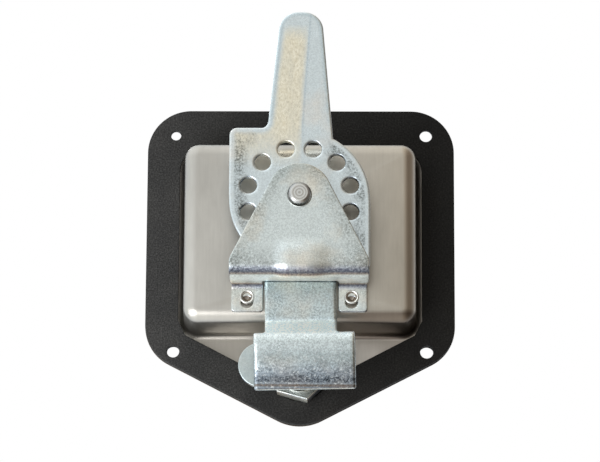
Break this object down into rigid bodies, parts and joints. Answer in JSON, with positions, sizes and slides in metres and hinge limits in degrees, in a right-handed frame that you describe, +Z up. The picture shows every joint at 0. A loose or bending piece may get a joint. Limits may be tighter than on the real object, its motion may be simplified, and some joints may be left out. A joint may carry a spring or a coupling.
{
  "type": "toggle bolt latch",
  "caption": "Folding T-handle slam latch: dished pan with gasket, spindle with a long toggle plate, sprung bolt under a bracket, and a cam lock.",
  "frame": {"origin": "on the spindle's axis, in the plane of the flange's rear face, where the latch meets the door", "axes": "+Z up along the toggle plate's finger, +Y out of the door towards the handle, +X to the right as seen from the rear"},
  "size_m": [0.1206, 0.0501, 0.156],
  "materials": {
    "stainless": "satin",
    "zinc": "zinc plated",
    "turned_steel": "machined",
    "spring_steel": "bright",
    "chrome": "polished",
    "brass": "machined",
    "rubber": "matte"
  },
  "bodies": {
    "pan": {"pan": "stainless", "gasket": "rubber", "bracket": "zinc", "foot_rivet_left": "turned_steel", "foot_rivet_right": "turned_steel", "spindle_bushing": "brass", "spindle_o_ring": "rubber", "bolt_spring": "spring_steel", "lock_body": "chrome", "lock_spacer": "zinc", "lock_nut": "zinc"},
    "spindle": {"spindle": "turned_steel", "drive_cam": "zinc", "drive_pin": "turned_steel", "toggle_plate": "zinc", "plate_washer": "turned_steel", "retaining_ring": "spring_steel", "hinge_pin": "turned_steel", "detent_plunger": "turned_steel", "detent_spring": "spring_steel"},
    "handle": {"t_handle": "stainless"},
    "bolt": {"bolt": "zinc"},
    "lock": {"lock_plug": "brass", "lock_cam": "zinc", "cam_washer": "zinc", "cam_screw": "zinc"}
  },
  "joints": [
    {"name": "spindle_turn", "type": "hinge", "parent": "pan", "child": "spindle", "pos_m": [0, 0, 0], "axis": [0, -1, 0], "range_deg": [0, 90]},
    {"name": "bolt_slide", "type": "slide", "parent": "pan", "child": "bolt", "axis": [0, 0, 1], "range_m": [0, 0.01132], "stiffness_N_per_m": 500, "springref_m": -0.02, "deforming": ["bolt_spring"]},
    {"name": "handle_fold", "type": "hinge", "parent": "spindle", "child": "handle", "pos_m": [0, -0.0085, 0], "axis": [1, 0, 0], "range_deg": [0, 90]},
    {"name": "lock_turn", "type": "hinge", "parent": "pan", "child": "lock", "pos_m": [0, 0, -0.0612], "axis": [0, -1, 0], "range_deg": [0, 90]}
  ],
  "couplings": [
    {"joint": "bolt_slide", "follows": "spindle_turn", "m_per_rad": 0.0072}
  ]
}
